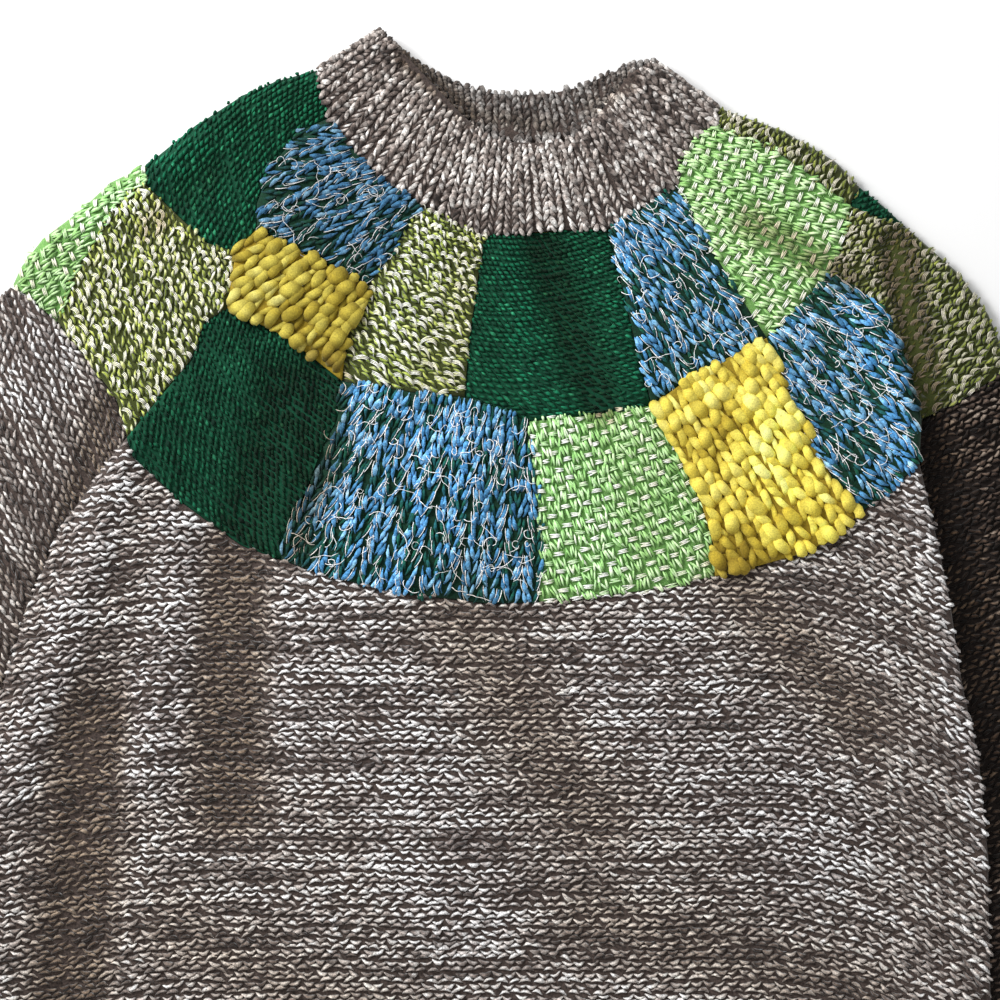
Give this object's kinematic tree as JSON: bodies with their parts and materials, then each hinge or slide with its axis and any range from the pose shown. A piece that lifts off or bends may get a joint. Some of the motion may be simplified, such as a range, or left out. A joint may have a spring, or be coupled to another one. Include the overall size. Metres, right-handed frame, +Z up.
{
  "type": "wool sweater with a patchwork yoke, laid flat",
  "caption": "Chunky knitted wool sweater with a ribbed funnel collar and a round patchwork yoke of mixed yarns, laid flat with its sleeves beside the body.",
  "frame": {"origin": "middle of the underside, on the surface that the sweater lies on", "axes": "+X across the sweater from the viewer's left to right, +Y from the hem up to the collar, +Z up from the surface through the back to the front"},
  "size_m": [0.8546, 0.74, 0.0201],
  "materials": {
    "marl_wool": "marled grey-brown wool, purl side out",
    "dark_green_wool": "fine dark green wool, purl side out",
    "blue_tweed_wool": "blue slub yarn with dark green wool and white thread",
    "yellow_roving": "thick and thin yellow roving, knit side out",
    "olive_wool": "olive wool with short cream strands, garter bumps",
    "light_green_wool": "light green slip-stitch knit with pale pink floats"
  },
  "bodies": {
    "root": {"body_back": "marl_wool", "body_front": "marl_wool", "collar": "marl_wool", "cuff_left": "marl_wool", "cuff_right": "marl_wool", "hem_back": "marl_wool", "hem_front": "marl_wool", "sleeve_left": "marl_wool", "sleeve_right": "marl_wool", "yoke_back_a1": "light_green_wool", "yoke_back_a2": "dark_green_wool", "yoke_back_a3": "olive_wool", "yoke_back_a4": "yellow_roving", "yoke_back_a5": "blue_tweed_wool", "yoke_back_b1": "olive_wool", "yoke_back_b2": "blue_tweed_wool", "yoke_back_b3": "light_green_wool", "yoke_back_b4": "dark_green_wool", "yoke_back_b5": "olive_wool", "yoke_back_b6": "dark_green_wool", "yoke_front_a1": "dark_green_wool", "yoke_front_a2": "blue_tweed_wool", "yoke_front_a3": "olive_wool", "yoke_front_a4": "yellow_roving", "yoke_front_a5": "dark_green_wool", "yoke_front_a6": "blue_tweed_wool", "yoke_front_a7": "light_green_wool", "yoke_front_a8": "olive_wool", "yoke_front_b1": "light_green_wool", "yoke_front_b2": "olive_wool", "yoke_front_b3": "dark_green_wool", "yoke_front_b4": "blue_tweed_wool", "yoke_front_b5": "light_green_wool", "yoke_front_b6": "yellow_roving", "yoke_front_b7": "blue_tweed_wool", "yoke_front_b8": "olive_wool", "yoke_front_b9": "dark_green_wool"}
  },
  "joints": []
}
